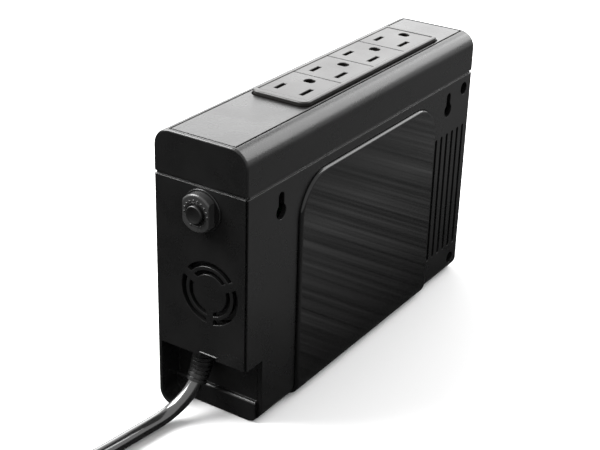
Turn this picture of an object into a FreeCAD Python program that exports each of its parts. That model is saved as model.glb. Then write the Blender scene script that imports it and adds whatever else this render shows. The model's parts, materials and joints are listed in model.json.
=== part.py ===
import FreeCAD, Part
import math
import os
import re
from FreeCAD import Placement, Rotation, Vector

# A slim uninterruptible power supply with a row of sockets along its top.
#
# Millimetres, +Z up. The origin is the centre of the case's underside. +X runs along
# the case to its front end, which holds the power button; the mains lead, the circuit
# breaker and the sounder's grille are on the rear end, at -X. The side at -Y is the
# one that hangs against a wall: it has the keyholes, the vents and the battery door.

SIZES = {
    # case
    "case_length": 181,
    "case_width": 44,
    "case_height": 123,
    "wall": 2.2,
    "top_thickness": 3.4,
    "top_round": 7.5,
    "base_round": 6.5,
    "corner_round": 0.8,
    "seam_height": 104.4,
    "seam_gap": 1.3,
    "seam_depth": 0.75,
    "lip_rise": 3,
    "fit_gap": 0.2,
    "door_gap": 0.3,
    "cover_skin": 0.75,
    "cover_inset": 0.7,
    # inlay in the top
    "inlay_length": 176.8,
    "inlay_width": 29.8,
    "inlay_thickness": 1.6,
    "inlay_gap": 0.8,
    # socket strip
    "strip_rear": -40,
    "strip_front": 70,
    "strip_width": 27,
    "strip_proud": 1.8,
    "strip_round": 3.5,
    "strip_gap": 0.65,
    "face_rear": -36.9,
    "face_pitch": 25.95,
    "face_width": 23.8,
    "face_gap": 0.45,
    "face_thickness": 2.4,
    "face_sunk": 0.15,
    "socket_first": -28.7,
    "socket_pitch": 26.17,
    "blade_spacing": 12.7,
    "ground_offset": 11.9,
    "neutral_slot": 8.2,
    "line_slot": 6.9,
    "slot_width": 2,
    "ground_radius": 2.5,
    "carrier_base": 103,
    "bus_thickness": 0.8,
    # battery door and battery
    "door_width": 111.2,
    "door_top": 99.8,
    "door_foot": 0.3,
    "door_round": 18,
    "door_proud": 1.5,
    "door_thickness": 2.2,
    "door_edge": 1.3,
    "door_tuck": 7,
    "door_sweep": 6,
    "window_width": 99,
    "window_top": 91.5,
    "battery_length": 96,
    "battery_depth": 34,
    "battery_base": 3,
    "battery_top": 80,
    "lid_height": 3.5,
    "tab_height": 6,
    # keyholes, vents and screw wells in the wall side
    "keyhole_spacing": 136.4,
    "keyhole_height": 91.2,
    "keyhole_radius": 3.3,
    "keyhole_neck": 1.9,
    "keyhole_rise": 6.4,
    "vent_first": 58.9,
    "vent_pitch": 5.22,
    "vent_width": 2,
    "vent_low": 16.4,
    "vent_high": 79.3,
    "well_radius": 3,
    "well_wall": 1,
    "well_depth": 8,
    "screw_radius": 1.5,
    # rear end
    "breaker_side": -1.3,
    "breaker_height": 94.4,
    "washer_radius": 8.7,
    "washer_thickness": 0.7,
    "neck_radius": 4.7,
    "collar_radius": 7.9,
    "collar_across": 12.3,
    "collar_proud": 4.5,
    "collar_dome": 0.9,
    "tick_circle": 5.4,
    "tick_width": 0.6,
    "tick_height": 0.2,
    "button_radius": 3.75,
    "button_proud": 6,
    "grille_side": -4.3,
    "grille_height": 59.5,
    "grille_rib": 3.4,
    "notch_depth": 11.2,
    "notch_height": 29.8,
    "notch_side": 20.2,
    "notch_wall": 2,
    "ledge_height": 9.8,
    "ledge_depth": 1.6,
    "ledge_round": 1.4,
    "brow_low": -7.8,
    "brow_high": 0.6,
    "brow_radius": 0.45,
    # mains lead
    "lead_radius": 3.1,
    "boot_neck": 3.6,
    "boot_radius": 4.7,
    "boot_tip_radius": 4.3,
    "rib_thickness": 1.3,
    "rib_pitch": 2.1,
    "flange_rear": -87.9,
    "flange_length": 10.9,
    "flange_width": 15,
    "flange_thickness": 1.6,
    "flange_lift": 1.5,
    # plug, along its own axis from the end of the lead
    "relief_length": 20,
    "relief_radius": 4.3,
    "relief_end_radius": 6.6,
    "groove_first": 3.2,
    "groove_pitch": 3.3,
    "groove_width": 1.1,
    "groove_core": 3.8,
    "plug_length": 30,
    "plug_width": 25,
    "plug_height": 22,
    "plug_round": 6,
    "plug_heel_round": 3.5,
    "plug_face_round": 1.2,
    "grip_first": 6,
    "grip_pitch": 3.4,
    "grip_width": 1.4,
    "grip_depth": 0.7,
    "blade_length": 17.5,
    "blade_thickness": 1.5,
    "blade_nose": 0.7,
    "blade_drop": 4.5,
    "neutral_blade": 7.9,
    "line_blade": 6.3,
    "pin_radius": 2.35,
    "pin_length": 18,
    # front end
    "power_height": 84,
    "power_radius": 7,
    "power_proud": 1.4,
    "lens_height": 73.6,
    "lens_radius": 1.6,
    # main board
    "board_side": 16.2,
    "board_thickness": 1.6,
    "board_rear": -74,
    "board_front": 50,
    "board_low": 8,
    "board_high": 90,
}

# The boot hangs through the recess's ceiling and bends towards the end.
BOOT_ROUTE = [
    (-84.4, 3.3, 36.2),
    (-84.4, 3.4, 26.5),
    (-85.6, 3.8, 20.6),
    (-88.2, 4.3, 15.4),
]
# The lead's way from the tip of its boot to the hank: down to the floor and out.
LEAD_ROUTE = [
    (-88.2, 4.3, 15.4),
    (-90.6, 5.0, 11.9),
    (-94.2, 6.6, 8.1),
    (-98.4, 8.5, 4.9),
    (-103.8, 9.9, 3.3),
    (-110.5, 10.8, 3.1),
    (-119.5, 11.9, 3.1),
    (-132.0, 13.2, 3.1),
    (-147.0, 15.4, 3.1),
    (-162.0, 17.4, 3.1),
    (-176.0, 18.5, 3.1),
    (-188.0, 18.8, 3.1),
]
# The put-away length is a hank: long turns side by side and on each other, each folded
# at its two ends and drawn in to a narrow waist between them.
HANK_CENTRE = (-231.0, -6.0)
HANK_PITCH = 6.2
HANK_COLUMNS = 2
HANK_LAYERS = 3
HANK_FOLD = 18.6  # the innermost turn's radius at its two ends
HANK_PINCH = 33.0  # its radius where it draws in to the waist
HANK_WAIST = 6.6  # the straight run across the middle
HANK_GAP = 1.0  # half the gap at which each end's hole is closed off
# The lead's end, round the fold and up to the plug that lies across the waist.
TAIL_ROUTE = [
    (-293.4, -17.3, 15.6),
    (-287.4, -25.3, 17.2),
    (-278.6, -30.1, 20.6),
    (-269.1, -31.0, 24.6),
    (-260.6, -28.8, 28.2),
    (-253.0, -24.2, 30.4),
]
PLUG_HEADING = 31.0  # degrees from +X, the way the plug's blades point
GROOVES = 5  # round the plug's own relief
GRIPS = 4  # across each side of the plug's body

doc = FreeCAD.newDocument("uninterruptible_power_supply")
sheet = doc.addObject("Spreadsheet::Sheet", "sizes")
for row, (alias, amount) in enumerate(SIZES.items(), 1):
    sheet.set(f"A{row}", alias)
    sheet.set(f"B{row}", str(amount))
    sheet.setAlias(f"B{row}", alias)
doc.recompute()

nodes = []


# ---------------------------------------------------------------- building blocks


def size(text):
    """The present value, in millimetres, of an expression in the sheet's aliases."""
    words = {alias: float(getattr(sheet, alias)) for alias in SIZES}
    tokens = re.sub(r"[a-z_]+", lambda m: repr(words[m.group(0)]), str(text))
    holder = doc.addObject("App::FeaturePython", "reckoning")
    holder.addProperty("App::PropertyFloat", "Amount")
    holder.setExpression("Amount", tokens)
    holder.recompute()
    amount = holder.Amount
    doc.removeObject(holder.Name)
    return amount


def bind(thing, prop, text):
    """Drive a property from the sheet; each alias in text is looked up there."""
    named = re.sub(r"[a-z_]+", lambda m: f"sizes.{m.group(0)}", str(text))
    thing.setExpression(prop, named)


def place(thing, x, y, z):
    """Bind the position of an object's own origin."""
    bind(thing, "Placement.Base.x", x)
    bind(thing, "Placement.Base.y", y)
    bind(thing, "Placement.Base.z", z)
    return thing


def box(x, y, z, name="block"):
    """A block between a low and a high expression along each axis."""
    block = doc.addObject("Part::Box", name)
    for prop, (low, high) in zip(("Length", "Width", "Height"), (x, y, z)):
        bind(block, prop, f"({high}) - ({low})")
    return place(block, x[0], y[0], z[0])


TURNED = {
    "+X": Rotation(Vector(0, 1, 0), 90),
    "-X": Rotation(Vector(0, 1, 0), -90),
    "+Y": Rotation(Vector(1, 0, 0), -90),
    "-Y": Rotation(Vector(1, 0, 0), 90),
    "+Z": Rotation(),
}


def rod(start, way, radius, length, name="rod"):
    """A cylinder from the centre of its first face, the way given, such as -X."""
    cylinder = doc.addObject("Part::Cylinder", name)
    bind(cylinder, "Radius", radius)
    bind(cylinder, "Height", length)
    cylinder.Placement = Placement(Vector(), TURNED[way])
    return place(cylinder, *start)


def taper(start, way, radius, end_radius, length, name="taper"):
    """A cone cut short, with its first radius at start."""
    cone = doc.addObject("Part::Cone", name)
    bind(cone, "Radius1", radius)
    bind(cone, "Radius2", end_radius)
    bind(cone, "Height", length)
    cone.Placement = Placement(Vector(), TURNED[way])
    return place(cone, *start)


def join(*things, name="joined"):
    """One solid from several that touch or overlap."""
    fused = doc.addObject("Part::MultiFuse", name)
    fused.Shapes = list(things)
    fused.Refine = True
    return fused


def cut(base, *tools, name="shaped"):
    """The base less every tool."""
    result = doc.addObject("Part::Cut", name)
    result.Base = base
    result.Tool = tools[0] if len(tools) == 1 else join(*tools)
    result.Refine = True
    return result


def common(first, second, name="trimmed"):
    """What two solids share."""
    result = doc.addObject("Part::MultiCommon", name)
    result.Shapes = [first, second]
    result.Refine = True
    return result


def together(*things, name="group"):
    """Separate solids that count as one sub-part."""
    compound = doc.addObject("Part::Compound", name)
    compound.Links = list(things)
    return compound


def rounded(base, radius, wanted, name="rounded"):
    """Fillet the edges for which wanted(edge) is true; radius is an expression."""
    doc.recompute()
    amount = size(radius)
    picked = [n for n, edge in enumerate(base.Shape.Edges, 1) if wanted(edge)]
    fillet = doc.addObject("Part::Fillet", name)
    fillet.Base = base
    fillet.Edges = [(n, amount, amount) for n in picked]
    return fillet


def runs_along(edge, axis):
    """Whether a straight edge is parallel to an axis, such as 'x'."""
    if not isinstance(edge.Curve, (Part.Line, Part.LineSegment)):
        return False
    along = edge.tangentAt(edge.FirstParameter)
    return abs(getattr(along, axis)) > 0.999


def edge_lies(edge, **where):
    """Whether both the middle and the ends of an edge lie at the stated coordinates."""
    points = [v.Point for v in edge.Vertexes] + [edge.CenterOfMass]
    return all(abs(getattr(p, a) - v) < 0.01 for p in points for a, v in where.items())


def outline(plane, draw, name="outline"):
    """A sketch on the XY, XZ or YZ plane, filled by draw(sketch)."""
    sketch = doc.addObject("Sketcher::SketchObject", name)
    turn = {
        "XY": Rotation(),
        "XZ": Rotation(Vector(1, 0, 0), 90),
        "YZ": Rotation(Vector(1, 1, 1), 120),
    }[plane]
    sketch.Placement = Placement(Vector(), turn)
    draw(sketch)
    return sketch


def prism(sketch, way, low, high, name="prism"):
    """A sketch pushed along an axis, from low to high on that axis."""
    solid = doc.addObject("Part::Extrusion", name)
    solid.Base = sketch
    solid.Dir = way
    solid.DirMode = "Custom"
    solid.Solid = True
    bind(solid, "LengthFwd", high)
    bind(solid, "LengthRev", f"-({low})")
    return solid


def polygon(sketch, points):
    """A closed outline of straight lines."""
    for first, second in zip(points, points[1:] + points[:1]):
        sketch.addGeometry(Part.LineSegment(Vector(*first, 0), Vector(*second, 0)))


def rounded_rectangle(sketch, left, right, low, high, radius):
    """A rectangle with its corners rounded."""
    corners = (
        (right - radius, high - radius, 0),
        (left + radius, high - radius, 90),
        (left + radius, low + radius, 180),
        (right - radius, low + radius, 270),
    )
    ends = []
    for x, y, start in corners:
        circle = Part.Circle(Vector(x, y, 0), Vector(0, 0, 1), radius)
        arc = Part.ArcOfCircle(circle, math.radians(start), math.radians(start + 90))
        sketch.addGeometry(arc)
        ends.append((arc.StartPoint, arc.EndPoint))
    for (_, end), (start, _) in zip(ends, ends[1:] + ends[:1]):
        sketch.addGeometry(Part.LineSegment(end, start))


def node(label, thing):
    """Make an object one of the parts that are written out, under its own name."""
    thing.Label = label
    nodes.append(thing)
    return thing


def solid_node(label, shape, rest=None):
    """A part whose shape is worked out here, from the sheet's sizes."""
    feature = doc.addObject("Part::Feature", label)
    feature.Shape = shape
    feature.Placement = rest or Placement()
    return node(label, feature)


# ---------------------------------------------------------------- tubes along a route


def bent_path(points):
    """Straight runs joined by tangent arcs, and the arcs' radii.

    Each arc is as large as its two runs allow: 0.45 of the shorter run, divided by the
    tangent of half the turn."""
    points = [Vector(*p) for p in points]
    edges = []
    radii = []
    here = points[0]
    for before, corner, after in zip(points, points[1:], points[2:]):
        back = (before - corner).normalize()
        ahead = (after - corner).normalize()
        reach = 0.45 * min((before - corner).Length, (after - corner).Length)
        turn = math.pi - back.getAngle(ahead)
        radius = reach / math.tan(turn / 2)
        start = corner + back * reach
        end = corner + ahead * reach
        inward = (back + ahead).normalize()
        middle = corner + inward * (radius / math.cos(turn / 2) - radius)
        edges.append(Part.LineSegment(here, start).toShape())
        edges.append(Part.Arc(start, middle, end).toShape())
        radii.append(radius)
        here = end
    edges.append(Part.LineSegment(here, points[-1]).toShape())
    return Part.Wire(edges), radii


def tube(points, radius):
    """A round bar swept along a bent path, with the path's length and radii."""
    path, radii = bent_path(points)
    start = path.Edges[0].Vertexes[0].Point
    along = path.Edges[0].tangentAt(path.Edges[0].FirstParameter)
    ring = Part.Wire([Part.Circle(start, along, radius).toShape()])
    bar = path.makePipeShell([ring], True, False)
    return bar, path.Length, radii


# ---------------------------------------------------------------- case

REAR = "-case_length / 2"
FRONT = "case_length / 2"
WALL_SIDE = "-case_width / 2"
FAR_SIDE = "case_width / 2"
SEAM_LOW = "seam_height - seam_gap / 2"
SEAM_HIGH = "seam_height + seam_gap / 2"
LIP_TOP = f"{SEAM_LOW} + lip_rise"
FACE_TOP = "case_height + strip_proud - face_sunk"


def case_form(inset, top_inset, name):
    """The case's rounded block, drawn in by inset on every side but the top."""
    block = box(
        (f"{REAR} + {inset}", f"{FRONT} - {inset}"),
        (f"{WALL_SIDE} + {inset}", f"{FAR_SIDE} - {inset}"),
        (f"{inset}", f"case_height - {top_inset}"),
        name,
    )
    high = size(f"case_height - {top_inset}")
    low = size(inset)
    crowned = rounded(
        block,
        f"top_round - {inset}",
        lambda e: runs_along(e, "x") and edge_lies(e, z=high),
    )
    return rounded(
        crowned,
        f"base_round - {inset}",
        lambda e: runs_along(e, "x") and edge_lies(e, z=low),
    )


def case_skin():
    """The whole hollow case before it is split into its three mouldings."""
    half = size(FRONT)
    outer = rounded(
        case_form("0", "0", "outside"),
        "corner_round",
        lambda e: edge_lies(e, x=half) or edge_lies(e, x=-half),
    )
    inner = case_form("wall", "top_thickness", "inside")
    return cut(outer, inner, name="skin")


def seam_ring(outer_inset, low, high):
    """A rectangular ring just inside the case's wall."""
    outer = box(
        (f"{REAR} + {outer_inset}", f"{FRONT} - ({outer_inset})"),
        (f"{WALL_SIDE} + {outer_inset}", f"{FAR_SIDE} - ({outer_inset})"),
        (low, high),
    )
    inner = box(
        (f"{REAR} + wall", f"{FRONT} - wall"),
        (f"{WALL_SIDE} + wall", f"{FAR_SIDE} - wall"),
        (f"{low} - 1", f"{high} + 1"),
    )
    return cut(outer, inner)


def lower_case(skin):
    """The skin below the seam, with the lip that the top cover fits over."""
    above = box((f"{REAR} - 1", f"{FRONT} + 1"), (f"{WALL_SIDE} - 1", f"{FAR_SIDE} + 1"),
                (SEAM_LOW, "case_height + 1"))
    return join(cut(skin, above), seam_ring("seam_depth", f"{SEAM_LOW} - 0.5", LIP_TOP))


def notch_space():
    """The recess at the foot of the rear end that the mains lead leaves through. It is
    open below, and the far side's wall keeps its thickness round the case's lower edge."""
    start = f"{REAR} - 1"
    edge = f"{FAR_SIDE} - base_round"
    block = box(
        (start, f"{REAR} + notch_depth"), (f"{WALL_SIDE} - 1", "notch_side"), ("-1", "notch_height")
    )
    corner = box((f"{REAR} - 2", f"{REAR} + notch_depth + 1"), (edge, FAR_SIDE), ("-2", "base_round"))
    bend = rod(
        (start, edge, "base_round"), "+X", "base_round + notch_side - case_width / 2", "notch_depth + 1"
    )
    return join(cut(block, corner), bend)


def notch_ledge():
    """The ledge at the foot of the recess's back wall, with a rounded upper edge."""
    front = f"{REAR} + notch_depth - ledge_depth"
    block = box(
        (front, f"{REAR} + notch_depth + 1"),
        (f"{WALL_SIDE} + wall + fit_gap", "notch_side + 0.5"),
        ("0", "ledge_height"),
    )
    x, z = size(front), size("ledge_height")
    smooth = rounded(block, "ledge_round", lambda e: runs_along(e, "y") and edge_lies(e, x=x, z=z))
    return common(smooth, case_form("0.1", "0", "ledge_limit"))


def grille_cutter():
    """Two rings of slots with three bridges across them."""
    start = (f"{REAR} - 1", "grille_side", "grille_height")
    rings = []
    for outer, inner in ((13.6, 11.4), (9.9, 8.0)):
        disc = rod(start, "+X", outer, "wall + 2")
        core = rod((f"{REAR} - 2", "grille_side", "grille_height"), "+X", inner, "wall + 4")
        rings.append(cut(disc, core))
    bridges = []
    for angle in (30, 150, 270):
        bridge = box(
            (f"{REAR} - 2", f"{REAR} + wall + 2"),
            ("-grille_rib / 2", "grille_rib / 2"),
            ("0", "20"),
        )
        turn = Rotation(Vector(1, 0, 0), angle - 90)
        shift = turn.multVec(Vector(0, -size("grille_rib") / 2, 0))
        bridge.Placement = Placement(Vector(), turn)
        place(
            bridge,
            f"{REAR} - 2",
            f"grille_side + ({shift.y:.6f})",
            f"grille_height + ({shift.z:.6f})",
        )
        bridges.append(bridge)
    return cut(join(*rings), *bridges)


WELLS = [("83", "97.7"), ("83", "8.5"), ("0", "95.9")]
BOARD_POSTS = [("-50.5", "12"), ("-50.5", "83.5"), ("46", "12"), ("46", "83.5")]


def door_space(deep):
    """The space at the case's foot that the door's foot sweeps through, deep from -Y."""
    return box(
        ("-door_width / 2 - door_gap", "door_width / 2 + door_gap"),
        (f"{WALL_SIDE} - 1", f"{WALL_SIDE} + {deep}"),
        ("-1", "door_foot + door_sweep + door_gap"),
    )


def body_shell(lower):
    """The main tub: the far side, both ends and the underside."""
    split = f"{WALL_SIDE} + wall + fit_gap"
    rim = f"{WALL_SIDE} + cover_skin + fit_gap"
    ends = (f"{REAR} - 1", f"{FRONT} + 1")
    between_ends = (f"{REAR} + wall - 0.1", f"{FRONT} - wall + 0.1")
    well_room = [
        rod((x, split, z), "+Y", "well_radius + well_wall + fit_gap", "well_depth") for x, z in WELLS
    ]
    tub = cut(
        lower,
        box(ends, (f"{WALL_SIDE} - 1", rim), ("-1", f"{LIP_TOP} + 1")),
        box(between_ends, (f"{WALL_SIDE} - 1", split), ("-1", f"{LIP_TOP} + 1")),
        notch_space(),
        door_space("door_tuck + door_gap"),
        *well_room,
    )
    inner_face = f"{FAR_SIDE} - wall - 0.2"
    notch_back = (f"{REAR} + notch_depth", f"{REAR} + notch_depth + notch_wall")
    walls = [
        box(notch_back, (split, inner_face), ("base_round - 4.8", "notch_height + 1")),
        box(
            (f"{REAR} + 1", f"{REAR} + notch_depth + notch_wall"),
            (split, inner_face),
            ("notch_height", "notch_height + notch_wall + 1.4"),
        ),
        notch_ledge(),
        rod(
            (f"{REAR} + 0.1", "brow_low", "notch_height + 1 + brow_radius"),
            "+Y",
            "brow_radius",
            "brow_high - brow_low",
        ),
    ]
    posts = [rod((x, "board_side + board_thickness", z), "+Y", 3,
                 f"{inner_face} + 0.4 - board_side - board_thickness") for x, z in BOARD_POSTS]
    bosses = [
        rod((x, f"{WALL_SIDE} + wall + well_depth + fit_gap", z), "+Y", 3.4,
            f"case_width - 2 * wall - well_depth") for x, z in WELLS
    ]
    sounder_ring = cut(
        rod((f"{REAR} + wall - 0.2", "grille_side", "grille_height"), "+X", 15.2, 7.2),
        rod((f"{REAR} + wall - 1", "grille_side", "grille_height"), "+X", 14.4, 9),
    )
    tub = join(tub, *walls, *posts, *bosses, sounder_ring)
    holes = [rod((x, 12, z), "+Y", 1.2, 7) for x, z in BOARD_POSTS]
    holes += [rod((x, f"{WALL_SIDE} + wall + well_depth - 1", z), "+Y", 1.25, 14) for x, z in WELLS]
    boot_x, boot_y, _ = BOOT_ROUTE[0]
    boot_hole = rod((boot_x, boot_y, "notch_height - 1"), "+Z", "boot_neck + 0.2", "notch_wall + 4")
    brow_relief = box(
        (f"{REAR} - 1", f"{REAR} + wall + 0.9"),
        ("brow_low + 0.6", "brow_high - 0.6"),
        ("notch_height - 1", "notch_height + 0.9"),
    )
    tub = cut(
        tub,
        *holes,
        boot_hole,
        brow_relief,
        grille_cutter(),
        rod((f"{REAR} - 1", "breaker_side", "breaker_height"), "+X", 4.9, "wall + 2"),
        rod((f"{FRONT} + 1", "0", "power_height"), "-X", "power_radius + 0.3", "wall + 2"),
        rod((f"{FRONT} + 1", "0", "lens_height"), "-X", "lens_radius", "wall + 2"),
    )
    return node("body_shell", tub)


def keyhole_cutter(side):
    """A keyhole through the wall side: a round hole with a narrow neck above it."""
    x = f"{side} * keyhole_spacing / 2"
    y = (f"{WALL_SIDE} - 1", f"{WALL_SIDE} + wall + 1")
    top = "keyhole_height + keyhole_rise"
    hole = rod((x, y[0], "keyhole_height"), "+Y", "keyhole_radius", "wall + 2")
    neck = box((f"{x} - keyhole_neck", f"{x} + keyhole_neck"), y, ("keyhole_height", top))
    return join(hole, neck, rod((x, y[0], top), "+Y", "keyhole_neck", "wall + 2"))


def vent_cutter(n):
    """One upright vent slot with round ends."""
    x = f"vent_first + {n} * vent_pitch"
    y = (f"{WALL_SIDE} - 1", f"{WALL_SIDE} + wall + 1")
    half = "vent_width / 2"
    heights = (f"vent_low + {half}", f"vent_high - {half}")
    slot = box((f"{x} - {half}", f"{x} + {half}"), y, heights)
    return join(slot, *[rod((x, y[0], z), "+Y", half, "wall + 2") for z in heights])


def door_form(margin, low, y_low, y_high):
    """The battery door's outline, upright with two large round corners at its top."""
    half = size(f"door_width / 2 + {margin}")
    top = size(f"door_top + {margin}")
    radius = size(f"door_round + {margin}")

    def draw(sketch):
        turn = math.pi / 2
        right = Part.Circle(Vector(half - radius, top - radius, 0), Vector(0, 0, 1), radius)
        left = Part.Circle(Vector(radius - half, top - radius, 0), Vector(0, 0, 1), radius)
        first = Part.ArcOfCircle(right, 0, turn)
        second = Part.ArcOfCircle(left, turn, 2 * turn)
        sketch.addGeometry(first)
        sketch.addGeometry(Part.LineSegment(first.EndPoint, second.StartPoint))
        sketch.addGeometry(second)
        corners = [second.EndPoint, Vector(-half, low, 0), Vector(half, low, 0), first.StartPoint]
        for a, b in zip(corners, corners[1:]):
            sketch.addGeometry(Part.LineSegment(a, b))

    return prism(outline("XZ", draw), Vector(0, 1, 0), y_low, y_high)


def wall_side_cover(lower):
    """The flat moulding that faces the wall, with keyholes, vents and battery window."""
    face = WALL_SIDE
    tall = ("-1", f"{LIP_TOP} + 1")
    outer_skin = box(
        (f"{REAR} + cover_inset", f"{FRONT} - cover_inset"), (f"{face} - 1", f"{face} + cover_skin"), tall
    )
    inner_part = box(
        (f"{REAR} + wall + 0.1", f"{FRONT} - wall - 0.1"), (f"{face} - 1", f"{face} + wall"), tall
    )
    plate = common(lower, join(outer_skin, inner_part))
    wells = []
    recesses = []
    for x, z in WELLS:
        wells.append(rod((x, f"{face} + 1", z), "+Y", "well_radius + well_wall", "well_depth + wall - 1"))
        mouth = (x, f"{face} - 1", z)
        recesses.append(rod(mouth, "+Y", "well_radius", "well_depth + wall - 0.6"))
        recesses.append(rod(mouth, "+Y", "screw_radius + 0.2", "well_depth + wall + 3"))
    half = size("window_width / 2")
    window = outline("XZ", lambda s: rounded_rectangle(s, -half, half, -6, size("window_top"), 5))
    plate = cut(
        join(plate, *wells),
        notch_space(),
        door_form("door_gap", -1, f"{face} - 1", f"{face} + door_thickness - door_proud + 0.15"),
        prism(window, Vector(0, 1, 0), f"{face} - 1", f"{face} + wall + 1"),
        door_space("wall + 1"),
        *[keyhole_cutter(side) for side in (-1, 1)],
        *[vent_cutter(n) for n in range(6)],
        *recesses,
    )
    return node("wall_side_cover", plate)


def top_cover(skin):
    """The cap above the seam, recessed for the inlay and open for the sockets."""
    below = box((f"{REAR} - 1", f"{FRONT} + 1"), (f"{WALL_SIDE} - 1", f"{FAR_SIDE} + 1"),
                ("-1", SEAM_HIGH))
    rabbet = seam_ring("seam_depth - 0.15", f"{SEAM_HIGH} - 1", f"{LIP_TOP} + fit_gap")
    recess = box(
        ("-inlay_length / 2 - inlay_gap", "inlay_length / 2 + inlay_gap"),
        ("-inlay_width / 2 - inlay_gap", "inlay_width / 2 + inlay_gap"),
        ("case_height - inlay_thickness", "case_height + 1"),
    )
    window = box(
        ("strip_rear + 1.2", "strip_front - 1.2"),
        ("-strip_width / 2 + 0.4", "strip_width / 2 - 0.4"),
        ("case_height - top_thickness - 1", "case_height + 1"),
    )
    return node("top_cover", cut(skin, below, rabbet, recess, window))


def top_inlay():
    """The thin panel let into the top, with its opening round the socket strip."""
    panel = box(
        ("-inlay_length / 2", "inlay_length / 2"),
        ("-inlay_width / 2", "inlay_width / 2"),
        ("case_height - inlay_thickness", "case_height"),
    )
    opening = outline(
        "XY",
        lambda s: rounded_rectangle(
            s,
            size("strip_rear - strip_gap"),
            size("strip_front + strip_gap"),
            size("-strip_width / 2 - strip_gap"),
            size("strip_width / 2 + strip_gap"),
            size("strip_round + strip_gap"),
        ),
    )
    hole = prism(opening, Vector(0, 0, 1), "case_height - inlay_thickness - 1", "case_height + 1")
    top = size("case_height")
    eased = rounded(cut(panel, hole), "0.2", lambda e: edge_lies(e, z=top))
    return node("top_inlay", eased)


# ---------------------------------------------------------------- socket strip


def outlet_frame():
    """The raised frame round the four socket faces, with a skirt down into the cover."""
    window = box(
        ("face_rear", "face_rear + 4 * face_pitch + 0.1"),
        ("-face_width / 2", "face_width / 2"),
        ("case_height - 12", "case_height + strip_proud + 1"),
    )
    sketch = outline(
        "XY",
        lambda s: rounded_rectangle(
            s,
            size("strip_rear"),
            size("strip_front"),
            size("-strip_width / 2"),
            size("strip_width / 2"),
            size("strip_round"),
        ),
    )
    rim = prism(sketch, Vector(0, 0, 1), "case_height - inlay_thickness", "case_height + strip_proud")
    top = size("case_height + strip_proud")
    rim = rounded(rim, "0.7", lambda e: edge_lies(e, z=top))
    skirt = box(
        ("strip_rear + 1.6", "strip_front - 1.6"),
        ("-strip_width / 2 + 0.6", "strip_width / 2 - 0.6"),
        ("case_height - 10.5", "case_height - inlay_thickness + 0.5"),
    )
    return node("outlet_frame", cut(join(rim, skirt), window))


def ground_cutter(x, low, high, radius, flat):
    """A D-shaped hole with its flat towards the blades."""
    hole = rod((f"{x} + ground_offset", "0", low), "+Z", radius, f"({high}) - ({low})")
    trim = box(
        (f"{x} + ground_offset - {radius} - 1", f"{x} + ground_offset - {flat}"),
        (f"-({radius}) - 1", f"{radius} + 1"),
        (f"{low} - 1", f"{high} + 1"),
    )
    return cut(hole, trim)


def blade_cutters(x, low, high, grow):
    """The neutral and line slots of one socket, each larger by grow all round."""
    cutters = []
    for side, length in ((-1, "neutral_slot"), (1, "line_slot")):
        y = f"{side} * blade_spacing / 2"
        cutters.append(
            box(
                (f"{x} - {length} / 2 - {grow}", f"{x} + {length} / 2 + {grow}"),
                (f"{y} - slot_width / 2 - {grow}", f"{y} + slot_width / 2 + {grow}"),
                (low, high),
            )
        )
    return cutters


def outlet_faces():
    """Four separate socket faces in a row, a thin gap between them."""
    for n in range(4):
        plate = box(
            (f"face_rear + {n} * face_pitch + face_gap / 2 + 0.05",
             f"face_rear + {n + 1} * face_pitch - face_gap / 2 + 0.05"),
            ("-face_width / 2 + 0.15", "face_width / 2 - 0.15"),
            (f"{FACE_TOP} - face_thickness", FACE_TOP),
        )
        top = size(FACE_TOP)
        x = f"socket_first + {n} * socket_pitch"
        low, high = f"{FACE_TOP} - face_thickness - 1", f"{FACE_TOP} + 1"
        holes = blade_cutters(x, low, high, "0")
        holes.append(ground_cutter(x, low, high, "ground_radius", "1.9"))
        plate = cut(plate, *holes)
        plate = rounded(plate, "0.25", lambda e: edge_lies(e, z=top))
        node(f"outlet_face_{n + 1}", plate)


def outlet_carrier():
    """The long block under the faces that holds the contacts."""
    top = f"{FACE_TOP} - face_thickness - 0.1"
    block = box(
        ("face_rear + 0.3", "face_rear + 4 * face_pitch - 0.2"),
        ("-face_width / 2 + 0.3", "face_width / 2 - 0.3"),
        ("carrier_base", top),
    )
    holes = []
    for n in range(4):
        x = f"socket_first + {n} * socket_pitch"
        holes += blade_cutters(x, "carrier_base + 1", f"{top} + 1", "0.2")
        holes += blade_cutters(x, "carrier_base - 1", f"{top} - 1.2", "1")
        ground = f"{x} + ground_offset"
        well = f"{top} - carrier_base"
        holes.append(rod((ground, "0", "carrier_base - 1"), "+Z", "ground_radius + 0.9", f"{well} - 0.2"))
        holes.append(rod((ground, "0", "carrier_base + 1"), "+Z", "ground_radius + 0.15", well))
    return node("outlet_carrier", cut(block, *holes))


def blade_contacts(label, side):
    """A brass bus strip with a pair of upright leaves for each socket's blade."""
    y = f"{side} * blade_spacing / 2"
    low = "carrier_base - 2 - bus_thickness"
    strip = box(("socket_first - 4", "socket_first + 3 * socket_pitch + 4"), (f"{y} - 2", f"{y} + 2"),
                (low, "carrier_base - 2"))
    leaves = []
    for n in range(4):
        x = f"socket_first + {n} * socket_pitch"
        for near, far in (("-1.35", "-0.65"), ("0.65", "1.35")):
            leaves.append(box((f"{x} - 3.2", f"{x} + 3.2"), (f"{y} + {near}", f"{y} + {far}"),
                              (f"{low} + 0.1", "carrier_base + 14")))
    return node(label, join(strip, *leaves))


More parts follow.
